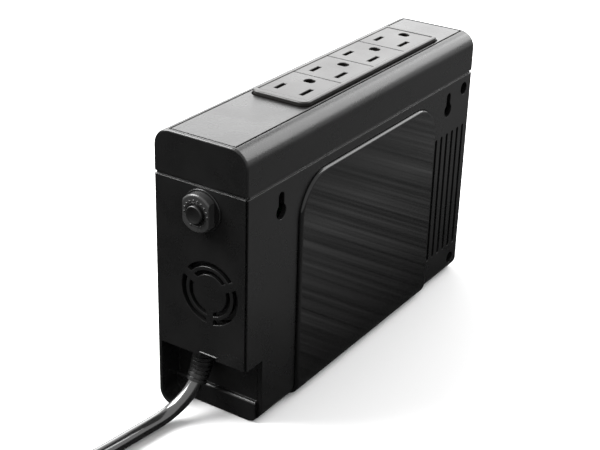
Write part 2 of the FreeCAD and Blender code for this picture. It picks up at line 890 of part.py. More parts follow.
def ground_contacts():
    """The earth bus strip with a split sleeve for each socket's round pin."""
    low = "carrier_base - 2 - bus_thickness"
    last = "socket_first + 3 * socket_pitch + ground_offset"
    ends = ("socket_first + ground_offset - 3", f"{last} + 3")
    strip = box(ends, ("-2.2", "2.2"), (low, "carrier_base - 2"))
    sleeves = []
    for n in range(4):
        x = f"socket_first + {n} * socket_pitch + ground_offset"
        outer = rod((x, "0", f"{low} + 0.1"), "+Z", "ground_radius + 0.6", "15")
        bore = rod((x, "0", "carrier_base - 2"), "+Z", "ground_radius", "15")
        split = box((f"{x} - 0.4", f"{x} + 0.4"), ("-4", "4"), ("carrier_base", "carrier_base + 16"))
        sleeves.append(cut(outer, bore, split))
    return node("ground_contacts", join(strip, *sleeves))


# ---------------------------------------------------------------- battery


def battery_cover():
    """The battery door: a panel with a foot that tucks under the case."""
    face = size(f"{WALL_SIDE} - door_proud")
    inner = size(f"{WALL_SIDE} - door_proud + door_thickness")
    foot = size("door_foot")
    tuck = size(f"{WALL_SIDE} + door_tuck")
    thick = size("door_thickness")
    top = size("door_top")
    sweep = size("door_sweep")

    def profile(sketch):
        """The door from the side: y across, z up."""
        outer = Part.Circle(Vector(face + sweep, foot + sweep, 0), Vector(0, 0, 1), sweep)
        lined = Part.Circle(Vector(face + sweep, foot + sweep, 0), Vector(0, 0, 1), sweep - thick)
        outer_arc = Part.ArcOfCircle(outer, math.pi, 1.5 * math.pi)
        inner_arc = Part.ArcOfCircle(lined, math.pi, 1.5 * math.pi)
        sketch.addGeometry(outer_arc)
        sketch.addGeometry(inner_arc)
        for chain in (
            [(face, foot + sweep), (face, top), (inner, top), (inner, foot + sweep)],
            [(face + sweep, foot), (tuck, foot), (tuck, foot + thick), (face + sweep, foot + thick)],
        ):
            for a, b in zip(chain, chain[1:]):
                sketch.addGeometry(Part.LineSegment(Vector(*a, 0), Vector(*b, 0)))

    panel = prism(outline("YZ", profile), Vector(1, 0, 0), "-door_width / 2", "door_width / 2")
    form = door_form("0", -5, f"{WALL_SIDE} - 5", f"{WALL_SIDE} + 12")
    panel = common(panel, form)
    half = size("door_width / 2")

    def on_rim(edge):
        """The outer face's own outline, but for its foot."""
        at_face = edge_lies(edge, y=face) and not edge_lies(edge, z=foot + sweep)
        at_side = edge_lies(edge, x=half) or edge_lies(edge, x=-half)
        on_sweep = isinstance(edge.Curve, Part.Circle) and abs(edge.Curve.Radius - sweep) < 0.01
        under = runs_along(edge, "y") and edge_lies(edge, z=foot)
        return at_face or (at_side and (on_sweep or under))

    panel = rounded(panel, "door_edge", on_rim)
    behind = (f"{WALL_SIDE} - door_proud + door_thickness - 0.2", f"{WALL_SIDE} + wall + 0.4")
    ribs = [
        box((f"{x} - 6", f"{x} + 6"), behind, ("89.2", "91.2")) for x in ("-28", "28")
    ] + [
        box((x, f"{x} + 1.2"), behind, ("20", "70")) for x in ("-49.2", "48")
    ]
    return node("battery_cover", join(panel, *ribs))


BATTERY_Y = (f"{WALL_SIDE} + wall + 0.5", f"{WALL_SIDE} + wall + 0.5 + battery_depth")


def battery():
    """A sealed lead-acid battery: its case, its lid and two blade terminals."""
    case = box(("-battery_length / 2", "battery_length / 2"), BATTERY_Y, ("battery_base", "battery_top"))
    case = rounded(case, "1.5", lambda e: runs_along(e, "z"))
    node("battery_case", case)
    lid = box(
        ("-battery_length / 2 + 0.3", "battery_length / 2 - 0.3"),
        (f"{BATTERY_Y[0]} + 0.3", f"{BATTERY_Y[1]} - 0.3"),
        ("battery_top", "battery_top + lid_height"),
    )
    top = size("battery_top + lid_height")
    node("battery_lid", rounded(lid, "1", lambda e: edge_lies(e, z=top)))
    tabs = []
    for x in ("-38", "38"):
        seat = "battery_top + lid_height"
        base = box((f"{x} - 4", f"{x} + 4"), ("-9", "-5"), (seat, f"{seat} + 0.8"))
        blade = box((f"{x} - 2.4", f"{x} + 2.4"), ("-7.4", "-6.6"),
                    ("battery_top + lid_height + 0.4", "battery_top + lid_height + tab_height"))
        tabs.append(join(base, blade))
    return node("battery_terminals", together(*tabs))


# ---------------------------------------------------------------- electronics

BOARD_Y = ("board_side", "board_side + board_thickness")


def main_board():
    """The printed circuit board, upright behind the battery."""
    panel = box(("board_rear", "board_front"), BOARD_Y, ("board_low", "board_high"))
    holes = [rod((x, "board_side - 1", z), "+Y", 1.6, 5) for x, z in BOARD_POSTS]
    return node("main_board", cut(panel, *holes))


def transformer():
    """A laminated core with a wound bobbin, held by a bent steel strap."""
    stack = ("62", "80")
    core = box(stack, ("-16", "16"), ("24", "72"))
    windows = [box(("61", "81"), y, ("32", "64")) for y in (("-10.8", "-5.2"), ("5.2", "10.8"))]
    node("transformer_core", cut(core, *windows))
    leg = box(("61.9", "80.1"), ("-5.3", "5.3"), ("31", "65"))
    spool = [
        box(("60.7", "81.3"), ("-6.4", "6.4"), ("32.2", "63.8")),
        box(("56", "86"), ("-10.6", "10.6"), ("32.2", "33.6")),
        box(("56", "86"), ("-10.6", "10.6"), ("62.4", "63.8")),
    ]
    node("transformer_bobbin", cut(join(*spool), leg))
    wound = box(("56.8", "85.2"), ("-10.2", "10.2"), ("33.7", "62.3"))
    wound = rounded(wound, "2.5", lambda e: runs_along(e, "z"))
    spindle = box(("60.6", "81.4"), ("-6.5", "6.5"), ("33", "63"))
    node("transformer_winding", cut(wound, spindle))
    strap = cut(
        box(("64", "78"), ("-17.1", "17.1"), ("16", "73.1")),
        box(("63", "79"), ("-16.1", "16.1"), ("15", "72.1")),
    )
    feet = [
        box(("64", "78"), ("-17.1", "-10"), ("15.9", "17")),
        box(("64", "78"), ("10", "17.1"), ("15.9", "17")),
    ]
    node("transformer_strap", join(strap, *feet))


def heat_sink():
    """An extruded aluminium heat sink with upright fins, standing on the board."""
    back = box(("-58", "-55.5"), ("-14", "15"), ("40", "66"))
    fins = [box(("-72", "-57.5"), (f"{y}", f"{y} + 1.6"), ("40", "66")) for y in range(-14, 15, 4)]
    pins = [box(("-57.6", "-56"), ("14.5", "16.2"), (f"{z}", f"{z} + 2")) for z in (43, 61)]
    return node("heat_sink", join(back, *fins, *pins))


def power_transistors():
    """Four tab-mounted transistors against the heat sink, each with three legs."""
    devices = []
    for n in range(4):
        z = 41 + 6.3 * n
        body = box(("-55.4", "-51"), ("2", "11"), (f"{z}", f"{z} + 5"))
        legs = [
            box(("-53.6", "-52.9"), ("10.5", "16.2"), (f"{z + 0.7 + 1.5 * k}", f"{z + 1.3 + 1.5 * k}"))
            for k in range(3)
        ]
        devices.append(join(body, *legs))
    return node("power_transistors", together(*devices))


def board_parts():
    """What stands on the rear part of the board."""
    relay_boxes = []
    for z in ("67", "78.5"):
        case = box(("-73", "-54"), ("1", "board_side"), (z, f"{z} + 10.5"))
        relay_boxes.append(rounded(case, "0.8", lambda e: runs_along(e, "y")))
    node("relays", together(*relay_boxes))
    cans = []
    sizes = [("-66", "17", "6", "24"), ("-56", "20", "4", "16"), ("-56", "30", "4", "16")]
    for x, z, radius, height in sizes:
        can = rod((x, "board_side", z), "-Y", radius, height)
        far = size(f"board_side - {height}")
        cans.append(rounded(can, "0.8", lambda e, far=far: edge_lies(e, y=far)))
    node("capacitors", together(*cans))
    glass = rod(("-68", "12", "28"), "+X", "2.5", "6.5")
    caps = [rod((x, "12", "28"), "+X", "2.8", "2.5") for x in ("-69.5", "-63")]
    clips = [box((x, f"{x} + 1"), ("13", "board_side"), ("26.5", "29.5")) for x in ("-68.8", "-62.3")]
    node("board_fuse", join(glass, *caps, *clips))
    tabs = []
    for x in ("30", "38", "-30", "-46"):
        tabs.append(box((f"{x} - 2.4", f"{x} + 2.4"), ("8.5", "board_side"), ("87.1", "87.9")))
    return node("board_tabs", together(*tabs))


def alarm_sounder():
    """The sounder's can, held in the ring behind the round grille."""
    can = rod((f"{REAR} + wall + 4", "grille_side", "grille_height"), "+X", "14.3", "6")
    sound_hole = rod((f"{REAR} + wall + 3", "grille_side", "grille_height"), "+X", "1.8", "3")
    low = size(f"{REAR} + wall + 4")
    can = cut(can, sound_hole)
    can = rounded(can, "0.5", lambda e: edge_lies(e, x=low) and e.Curve.Radius > 10)
    return node("alarm_sounder", can)


# ---------------------------------------------------------------- circuit breaker


BREAKER_TICKS = [*range(0, 181, 20), 245, 295]  # raised marks round the collar, in degrees


def breaker():
    """A push-to-reset breaker: body, washer, collar, button and two blade terminals."""
    inside = f"{REAR} + wall"
    where = ("breaker_side", "breaker_height")
    neck = rod((f"{REAR} - collar_proud", *where), "+X", "neck_radius", "collar_proud + wall + 0.2")
    block = box(
        (inside, f"{inside} + 13"),
        ("breaker_side - 7", "breaker_side + 7"),
        ("breaker_height - 8", "breaker_height + 8"),
    )
    block = rounded(block, "1", lambda e: runs_along(e, "x"))
    bore = rod((f"{REAR} - button_proud - 2", *where), "+X", "button_radius + 0.2", "button_proud + 7")
    node("breaker_body", cut(join(block, neck), bore))

    washer = rod((f"{REAR} - washer_thickness", *where), "+X", "washer_radius", "washer_thickness")
    rim = size(f"{REAR} - washer_thickness")
    washer = rounded(washer, "0.3", lambda e: edge_lies(e, x=rim))
    thread = rod((f"{REAR} - collar_proud - 1", *where), "+X", "neck_radius + 0.05", "collar_proud + 2")
    node("breaker_washer", cut(washer, thread))

    depth = "collar_proud - washer_thickness - 0.05"
    ring = rod((f"{REAR} - collar_proud", *where), "+X", "collar_radius", depth)
    outer = size(f"{REAR} - collar_proud")
    ring = rounded(ring, "collar_dome", lambda e: edge_lies(e, x=outer))
    flats = [
        box(
            (f"{REAR} - collar_proud - 1", REAR),
            (f"breaker_side + {low}", f"breaker_side + {high}"),
            ("breaker_height - 10", "breaker_height + 10"),
        )
        for low, high in (("-12", "-collar_across / 2"), ("collar_across / 2", "12"))
    ]
    ring = cut(ring, thread, *flats)
    ticks = []
    for degrees in BREAKER_TICKS:
        across = f"tick_circle * {math.cos(math.radians(degrees)):.4f}"
        up = f"tick_circle * {math.sin(math.radians(degrees)):.4f}"
        ticks.append(
            box(
                (f"{REAR} - collar_proud - tick_height", f"{REAR} - collar_proud + tick_height"),
                (f"breaker_side + {across} - tick_width / 2", f"breaker_side + {across} + tick_width / 2"),
                (f"breaker_height + {up} - tick_width / 2", f"breaker_height + {up} + tick_width / 2"),
            )
        )
    node("breaker_collar", join(ring, *ticks))

    stem = rod((f"{REAR} - button_proud", *where), "+X", "button_radius", "button_proud + 3.5")
    tip = size(f"{REAR} - button_proud")
    stem = rounded(stem, "0.6", lambda e: edge_lies(e, x=tip))
    dish = doc.addObject("Part::Sphere", "dish")
    dish.Radius = 12
    place(dish, f"{REAR} - button_proud - 11.5", *where)
    node("breaker_button", cut(stem, dish))

    tabs = [
        box((f"{inside} + 13", f"{inside} + 20"), ("breaker_side - 3.2", "breaker_side + 3.2"),
            (f"breaker_height + {z} - 0.4", f"breaker_height + {z} + 0.4"))
        for z in ("-5", "5")
    ]
    return node("breaker_terminals", together(*tabs))


# ---------------------------------------------------------------- front end


def front_controls():
    """The power button, the switch behind it and the status light's lens."""
    cap = rod((f"{FRONT} + power_proud", "0", "power_height"), "-X", "power_radius", "power_proud + 3")
    face = size(f"{FRONT} + power_proud")
    cap = rounded(cap, "0.8", lambda e: edge_lies(e, x=face))
    stop = rod((f"{FRONT} - wall - 0.3", "0", "power_height"), "-X", "power_radius + 1.2", "1")
    stem = rod((f"{FRONT} - 2", "0", "power_height"), "-X", "2", "3.8")
    node("power_button", join(cap, stop, stem))
    plate = box((f"{FRONT} - wall - 9.4", f"{FRONT} - wall - 7.8"), ("-10", "10"), ("72.3", "93.5"))
    switch = box((f"{FRONT} - wall - 7.8", f"{FRONT} - wall - 5.2"), ("-3", "3"),
                 ("power_height - 3", "power_height + 3"))
    node("switch_board", plate)
    node("power_switch", switch)
    lens = rod((f"{FRONT} + 0.3", "0", "lens_height"), "-X", "lens_radius - 0.05", "9")
    tip = size(f"{FRONT} + 0.3")
    return node("status_lens", rounded(lens, "0.3", lambda e: edge_lies(e, x=tip)))


# ---------------------------------------------------------------- fasteners


def case_screws():
    """Three pan-head screws down the wells of the wall side."""
    screws = []
    for x, z in WELLS:
        seat = f"{WALL_SIDE} + well_depth + wall - 1.6"
        head = rod((x, f"{seat} - 1.9", z), "+Y", 2.7, 1.9)
        top = size(f"{seat} - 1.9")
        head = rounded(head, "0.5", lambda e, top=top: edge_lies(e, y=top))
        shank = rod((x, f"{seat} - 0.1", z), "+Y", 1.2, 12)
        deep = (f"{seat} - 2.5", f"{seat} - 0.9")
        slots = [
            box((f"{x} - {a}", f"{x} + {a}"), deep, (f"{z} - {b}", f"{z} + {b}"))
            for a, b in (("1.6", "0.3"), ("0.3", "1.6"))
        ]
        screws.append(cut(join(head, shank), *slots))
    return node("case_screws", together(*screws))


def board_screws():
    """Four short screws that hold the main board to its posts."""
    screws = []
    for x, z in BOARD_POSTS:
        head = rod((x, "board_side - 1.4", z), "+Y", 2.6, 1.4)
        shank = rod((x, "board_side - 0.1", z), "+Y", 1.15, 2.7)
        screws.append(join(head, shank))
    return node("board_screws", together(*screws))


# ---------------------------------------------------------------- mains lead


def strain_relief():
    """The ribbed boot that bends with the lead where it leaves the case."""
    root, tip = size("boot_radius"), size("boot_tip_radius")
    thickness, pitch = size("rib_thickness"), size("rib_pitch")
    ceiling = size("notch_height")
    path, _ = bent_path(BOOT_ROUTE)
    solid, _, _ = tube(BOOT_ROUTE, size("boot_neck"))
    width = size("flange_width")
    corner = Vector(
        size("flange_rear"),
        BOOT_ROUTE[0][1] - width / 2,
        size("notch_height + notch_wall + flange_lift"),
    )
    flange = Part.makeBox(size("flange_length"), width, size("flange_thickness"), corner)
    solid = solid.fuse(flange)
    free = path.Length - (BOOT_ROUTE[0][2] - ceiling)
    rib_count = int(free / pitch)
    for k in range(rib_count):
        here, along = point_on(path, path.Length - thickness - pitch * k)
        radius = tip + (root - tip) * k / (rib_count - 1)
        solid = solid.fuse(Part.makeCylinder(radius, thickness, here, along))
    return solid_node("strain_relief", solid.removeSplitter())


def point_on(path, distance):
    """The point and the direction that far along a wire."""
    for edge in path.OrderedEdges:
        if distance <= edge.Length:
            at = edge.getParameterByLength(distance)
            return edge.valueAt(at), edge.tangentAt(at).normalize()
        distance -= edge.Length
    last = path.OrderedEdges[-1]
    return last.valueAt(last.LastParameter), last.tangentAt(last.LastParameter)


def report_tube(label, bar, length, radii, radius):
    """Print a tube's arcs and compare its volume with section times length."""
    expected = math.pi * radius**2 * length
    shown = ", ".join(f"{r:.1f}" for r in radii)
    print(f"{label}: length {length:.1f}, volume ratio {bar.Volume / expected:.4f}")
    print(f"{label}: radii {shown}")


def arc(centre, radius, start, end):
    """Part of a level circle, between two angles in degrees from +X."""
    points = []
    for degrees in (start, (start + end) / 2, end):
        way = Vector(math.cos(math.radians(degrees)), math.sin(math.radians(degrees)), 0)
        points.append(Vector(*centre, 0) + way * radius)
    return Part.Arc(*points).toShape()


def hank():
    """The folded turns as one solid, with a hole inside each end's fold."""
    radius = size("lead_radius")
    rise = radius + HANK_PINCH
    reach = math.sqrt((HANK_FOLD + HANK_PINCH) ** 2 - rise**2)
    lean = math.degrees(math.atan2(reach, rise))

    def half(offset, stop):
        """One end's outline, offset outward from the innermost turn's line; stop is
        the angle left out where it meets the waist."""
        pinch = HANK_PINCH - offset
        return [
            arc((HANK_WAIST / 2, -rise), pinch, 90 - stop, 90 - lean),
            arc((HANK_WAIST / 2 + reach, 0), HANK_FOLD + offset, -90 - lean, 90 + lean),
            arc((HANK_WAIST / 2, rise), pinch, lean - 90, stop - 90),
        ]

    def opposite(shape):
        """The same shape at the other end."""
        turned = shape.copy()
        turned.rotate(Vector(), Vector(0, 0, 1), 180)
        return turned

    right = Part.Wire(half(HANK_PITCH * (HANK_COLUMNS - 1) + radius, 0))
    last = right.OrderedVertexes[-1].Point
    across = Part.LineSegment(last, Vector(-last.x, last.y, 0)).toShape()
    around = [*right.Edges, *opposite(right).Edges, across, opposite(across)]
    outline_wire = Part.Wire(Part.__sortEdges__(around))

    stop = math.degrees(math.acos(1 - HANK_GAP / rise))
    fold = half(-radius, stop)
    tips = [v.Point for v in Part.Wire(fold).OrderedVertexes]
    hole = Part.Wire([*fold, Part.LineSegment(tips[-1], tips[0]).toShape()])

    height = Vector(0, 0, HANK_PITCH * HANK_LAYERS)
    solid = Part.Face(outline_wire).extrude(height)
    rims = [e for e in solid.Edges if abs(e.BoundBox.ZLength) < 0.01]
    solid = solid.makeFillet(radius * 0.9, rims)
    for opening in (hole, opposite(hole)):
        solid = solid.cut(Part.Face(opening).extrude(height))
    return solid_node("power_cord_hank", solid, Placement(Vector(*HANK_CENTRE, 0), Rotation()))


def mains_lead():
    """The lead from its boot to the hank, the hank, and the end that reaches the plug."""
    radius = size("lead_radius")
    for label, route in (("power_cord", LEAD_ROUTE), ("power_cord_end", TAIL_ROUTE)):
        bar, length, radii = tube(route, radius)
        report_tube(label, bar, length, radii, radius)
        solid_node(label, bar)
    return hank()


def plug():
    """A moulded three-pin plug on the lead's end: relief, body, blades and earth pin."""
    rest = Placement(Vector(*TAIL_ROUTE[-1]), Rotation(Vector(0, 0, 1), PLUG_HEADING))

    ahead = Vector(1, 0, 0)
    heel = size("relief_length")
    relief = Part.makeCone(size("relief_radius"), size("relief_end_radius"), heel, Vector(), ahead)
    for k in range(GROOVES):
        low = Vector(size("groove_first") + size("groove_pitch") * k, 0, 0)
        groove = Part.makeCylinder(size("plug_width"), size("groove_width"), low, ahead)
        core = Part.makeCylinder(size("groove_core"), size("groove_width"), low, ahead)
        relief = relief.cut(groove.cut(core))
    solid_node("plug_strain_relief", relief, rest)

    length, width, height = (size(f"plug_{side}") for side in ("length", "width", "height"))
    face = heel + length
    body = Part.makeBox(length, width, height, Vector(heel, -width / 2, -height / 2))
    for radius, wanted in (
        ("plug_round", lambda e: runs_along(e, "x")),
        ("plug_heel_round", lambda e: edge_lies(e, x=heel)),
        ("plug_face_round", lambda e: edge_lies(e, x=face)),
    ):
        body = body.makeFillet(size(radius), [e for e in body.Edges if wanted(e)])
    waist = width - 2 * size("grip_depth")
    for k in range(GRIPS):
        low = heel + size("grip_first") + size("grip_pitch") * k
        band = Part.makeBox(size("grip_width"), 2 * width, 2 * width, Vector(low, -width, -width))
        core = Part.makeBox(size("grip_width"), waist, 2 * width, Vector(low, -waist / 2, -width))
        body = body.cut(band.cut(core))
    solid_node("plug_body", body, rest)

    blades = []
    long, thick, drop = (size(f"blade_{part}") for part in ("length", "thickness", "drop"))
    for side, name in ((-1, "neutral_blade"), (1, "line_blade")):
        tall = size(name)
        y = side * size("blade_spacing") / 2
        blade = Part.makeBox(long, thick, tall, Vector(face, y - thick / 2, -drop - tall / 2))
        nose = [e for e in blade.Edges if edge_lies(e, x=face + long) and runs_along(e, "z")]
        blades.append(blade.makeFillet(size("blade_nose"), nose))
    solid_node("plug_blades", Part.makeCompound(blades), rest)

    radius, reach = size("pin_radius"), size("pin_length")
    high = size("ground_offset") - drop
    pin = Part.makeCylinder(radius, reach, Vector(face, 0, high), ahead)
    tip = Part.makeSphere(radius, Vector(face + reach, 0, high))
    return solid_node("plug_ground_pin", pin.fuse(tip).removeSplitter(), rest)


# ---------------------------------------------------------------- internal wiring


def wires(label, radius, routes):
    """Insulated leads inside the case, each along its own route."""
    bars = [tube(route, radius)[0] for route in routes]
    return solid_node(label, bars[0] if len(bars) == 1 else Part.makeCompound(bars))


def wiring():
    """The leads that join the breaker, board, battery, sockets and transformer."""
    wires("mains_leads", 1.1, [
        [(-83.6, 1.9, 36), (-83.2, 0.6, 39.2), (-79.5, -4.5, 41.6), (-75.3, -10, 44.2),
         (-75.2, -12, 52), (-75.2, -12.2, 66), (-74.6, -11.4, 78), (-72.5, -8, 85),
         (-69.5, -2.2, 89.4)],
        [(-83.6, 4.7, 36), (-83, 5.7, 38.2), (-79, 8, 38.4), (-73, 10.2, 37.4),
         (-67, 11.4, 37), (-63, 12.2, 36.8), (-63, 16.1, 36.8)],
    ])
    wires("socket_leads", 1.1, [
        [(-69.5, -1.3, 99.4), (-60, -1, 99.9), (-50, 1.5, 99.4), (-41, 5, 100), (-33, 6.35, 100.6)],
        [(-46, 9, 87.9), (-46, 3, 92), (-44, -2.5, 97.2), (-39, -5.8, 99.8), (-33, -6.35, 100.6)],
    ])
    wires("ground_lead", 1.1, [
        [(-85.7, 3.6, 36), (-86.3, 1.6, 38), (-84, -5, 37.8), (-77, -8.5, 37.2),
         (-68, -9.2, 37), (-59, -9, 36.9), (-53, -9.2, 38.6), (-51, -9, 48), (-50.5, -8, 80),
         (-49, -12.5, 90), (-42, -14, 95.5), (-31, -10, 97), (-23, -2.5, 98), (-18, 0, 100.4)],
    ])
    wires("battery_lead_red", 1.3, [
        [(38, -7, 88), (38.5, -6, 92), (38, 0, 94.2), (37.5, 6, 92), (38, 9.5, 88)],
    ])
    wires("battery_lead_black", 1.3, [
        [(-38, -7, 88), (-38.5, -6, 92), (-36, 0, 94.2), (-31.5, 6, 92), (-30, 9.5, 88)],
    ])
    wires("transformer_leads", 0.9, [
        [(57.5, side, 56), (54, side, 57.5), (51.8, side + 2.5, 61), (50.8, 13.2, 65 + 5 * n),
         (49.3, 16.4, 68 + 5 * n)]
        for n, side in enumerate((5.5, 8))
    ])


# ---------------------------------------------------------------- build and write


def build():
    """Make every sub-part."""
    skin = case_skin()
    lower = lower_case(skin)
    body_shell(lower)
    wall_side_cover(lower)
    top_cover(skin)
    top_inlay()
    outlet_frame()
    outlet_faces()
    outlet_carrier()
    blade_contacts("line_contacts", 1)
    blade_contacts("neutral_contacts", -1)
    ground_contacts()
    battery_cover()
    battery()
    main_board()
    transformer()
    heat_sink()
    power_transistors()
    board_parts()
    alarm_sounder()
    breaker()
    front_controls()
    case_screws()
    board_screws()
    strain_relief()
    mains_lead()
    plug()
    wiring()


def write():
    """Check every object, then write each sub-part's own file."""
    doc.recompute()
    for thing in doc.Objects:
        bad = {"Invalid", "Error"} & set(thing.State)
        if bad:
            raise RuntimeError(f"{thing.Label}: {sorted(bad)}")
    for thing in nodes:
        if thing.Shape.isNull() or not thing.Shape.isValid() or not thing.Shape.Solids:
            raise RuntimeError(f"{thing.Label}: its shape is empty or not valid")
    os.makedirs("parts", exist_ok=True)
    for thing in nodes:
        thing.Shape.exportStep(f"parts/{thing.Label}.step")
        solids = thing.Shape.Solids
        print(f"{thing.Label}: {len(solids)} solid(s), {thing.Shape.Volume:.0f} cubic mm")


build()
write()
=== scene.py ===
import json
import math

import bmesh
import bpy
from mathutils import Matrix, Vector


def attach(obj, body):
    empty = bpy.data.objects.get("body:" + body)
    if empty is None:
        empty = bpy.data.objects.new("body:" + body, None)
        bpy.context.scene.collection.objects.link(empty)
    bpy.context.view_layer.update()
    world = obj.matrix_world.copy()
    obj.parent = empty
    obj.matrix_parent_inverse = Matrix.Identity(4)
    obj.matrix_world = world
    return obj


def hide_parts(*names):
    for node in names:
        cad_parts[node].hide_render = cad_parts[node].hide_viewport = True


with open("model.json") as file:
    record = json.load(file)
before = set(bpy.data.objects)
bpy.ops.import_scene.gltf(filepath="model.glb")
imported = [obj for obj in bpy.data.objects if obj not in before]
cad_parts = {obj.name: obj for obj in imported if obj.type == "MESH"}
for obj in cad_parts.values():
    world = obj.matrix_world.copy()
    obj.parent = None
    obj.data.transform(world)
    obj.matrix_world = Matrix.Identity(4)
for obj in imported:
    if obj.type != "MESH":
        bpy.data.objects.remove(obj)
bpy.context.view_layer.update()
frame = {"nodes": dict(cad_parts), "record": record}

# A slim uninterruptible power supply, standing on a pale studio floor.
# Its lead runs out of the camera's view to a tied hank, with the plug lying on it.
# Metres, in the frame's own axes: +Z up, the wall side at -Y, the mains lead at -X.

MM = 0.001


# ---------------------------------------------------------------- camera

CAMERA_AT = (-0.4404, -0.2712, 0.3040)
CAMERA_AZIMUTH = math.radians(-57.13)
CAMERA_ELEVATION = math.radians(25.98)
CAMERA_ROLL = math.radians(1.7)
LENS = 77.7


def place_camera():
    """A view from above the rear corner of the wall side, with the camera tilted a little."""
    data = bpy.data.cameras.new("camera")
    data.lens = LENS
    data.sensor_width = 36
    data.clip_start = 0.01
    camera = bpy.data.objects.new("camera", data)
    bpy.context.scene.collection.objects.link(camera)
    turn = (
        Matrix.Rotation(CAMERA_AZIMUTH, 4, "Z")
        @ Matrix.Rotation(math.pi / 2 - CAMERA_ELEVATION, 4, "X")
        @ Matrix.Rotation(CAMERA_ROLL, 4, "Z")
    )
    camera.matrix_world = Matrix.Translation(CAMERA_AT) @ turn
    bpy.context.scene.camera = camera


# ---------------------------------------------------------------- mains lead

LEAD_RADIUS = 3.1 * MM
LEAD_ROUTE = [
    (-0.0882, 0.0043, 0.0154),
    (-0.0906, 0.0050, 0.0119),
    (-0.0942, 0.0066, 0.0081),
    (-0.0984, 0.0085, 0.0049),
    (-0.1038, 0.0099, 0.0033),
    (-0.1105, 0.0108, 0.0031),
    (-0.1195, 0.0119, 0.0031),
    (-0.1320, 0.0132, 0.0031),
    (-0.1470, 0.0154, 0.0031),
    (-0.1620, 0.0174, 0.0031),
    (-0.1760, 0.0185, 0.0031),
    (-0.1880, 0.0188, 0.0031),
]
TAIL_ROUTE = [
    (-0.2934, -0.0173, 0.0156),
    (-0.2874, -0.0253, 0.0172),
    (-0.2786, -0.0301, 0.0206),
    (-0.2691, -0.0310, 0.0246),
    (-0.2606, -0.0288, 0.0282),
    (-0.2530, -0.0242, 0.0304),
]
HANK_CENTRE = Vector((-0.2310, -0.0060, 0))
HANK_PITCH = 6.2 * MM
HANK_FOLD = 18.6 * MM  # the innermost turn's radius at its two ends
HANK_PINCH = 33.0 * MM  # its radius where it draws in to the waist
HANK_WAIST = 6.6 * MM  # the straight run across the middle
HANK_TURNS = [(1, 0), (0, 0), (0, 1), (1, 1), (1, 2)]  # each turn's column and layer
PINCH_POINTS = 2  # control points of each arc that draws in to the waist
FOLD_POINTS = 12
CLIMB_POINTS = 10  # of a turn's closing fold, where it moves to the next one's place
LAST_FOLD_POINTS = 7  # of the last turn's far fold, before the lead leaves for its plug
HANK_LAYERS = 3
CLIMB_DIP = 2.0 * MM  # how far a climbing turn draws in, to clear the one beside it
TIE_THICKNESS = 0.7 * MM


def hank_arcs():
    """One turn's arcs, in order: centre, +1 for a fold and -1 for a pinch, the angles
    between which it runs, and its number of control points."""
    rise = LEAD_RADIUS + HANK_PINCH
    reach = math.sqrt((HANK_FOLD + HANK_PINCH) ** 2 - rise**2)
    lean = math.atan2(reach, rise)
    end, half = HANK_WAIST / 2 + reach, HANK_WAIST / 2
    quarter = math.pi / 2
    return [
        (Vector((end, 0, 0)), 1, quarter, quarter + lean, PINCH_POINTS),
        (Vector((half, rise, 0)), -1, lean - quarter, -quarter, PINCH_POINTS),
        (Vector((-half, rise, 0)), -1, -quarter, -quarter - lean, PINCH_POINTS),
        (Vector((-end, 0, 0)), 1, quarter - lean, 3 * quarter + lean, FOLD_POINTS),
        (Vector((-half, -rise, 0)), -1, quarter + lean, quarter, PINCH_POINTS),
        (Vector((half, -rise, 0)), -1, quarter, quarter - lean, PINCH_POINTS),
        (Vector((end, 0, 0)), 1, -quarter - lean, quarter, CLIMB_POINTS),
    ]


def hank_points():
    """Control points of the put-away turns. Each ends by moving to the next one's place:
    inward on the floor, up to the second layer, and outward on top of the first."""
    points = []
    arcs = hank_arcs()
    for n, (column, layer) in enumerate(HANK_TURNS):
        last = n == len(HANK_TURNS) - 1
        next_column, next_layer = HANK_TURNS[n if last else n + 1]
        for centre, kind, start, end, count in arcs[:4] if last else arcs:
            step = (end - start) / count
            for k in range(LAST_FOLD_POINTS if last and count == FOLD_POINTS else count):
                part = (k + 0.5) / count if count == CLIMB_POINTS else 0
                eased = part * part * (3 - 2 * part)
                shift = (column + (next_column - column) * eased) * HANK_PITCH
                radius = HANK_FOLD + shift if kind > 0 else HANK_PINCH - shift
                if next_layer > layer:
                    radius -= CLIMB_DIP * math.sin(math.pi * part)
                lift = LEAD_RADIUS + (layer + (next_layer - layer) * eased) * HANK_PITCH
                if kind < 0:
                    lift += TIE_THICKNESS
                angle = start + (k + 0.5) * step
                way = Vector((math.cos(angle), math.sin(angle), 0)) / math.cos(step / 2)
                points.append(HANK_CENTRE + centre + way * radius + Vector((0, 0, lift)))
    return points


def spline_curve(name, points, radius):
    """A round bar along one smooth spline."""
    data = bpy.data.curves.new(name, "CURVE")
    data.dimensions = "3D"
    spline = data.splines.new("NURBS")
    spline.points.add(len(points) - 1)
    for point, at in zip(spline.points, points):
        point.co = (*at, 1)
        point.radius = radius
    spline.order_u = 3
    spline.use_endpoint_u = True
    spline.resolution_u = 8
    data.bevel_depth = 1.0
    data.bevel_resolution = 8
    data.use_fill_caps = True
    curve = bpy.data.objects.new(name, data)
    bpy.context.scene.collection.objects.link(curve)
    return curve


def mains_lead():
    """The lead: from its boot to the floor, round its hank, and up to its plug."""
    points = LEAD_ROUTE + hank_points() + TAIL_ROUTE
    lead = spline_curve("mains_lead", points, LEAD_RADIUS)
    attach(lead, "root")
    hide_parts("power_cord", "power_cord_hank", "power_cord_end")
    return lead


# ---------------------------------------------------------------- shader building

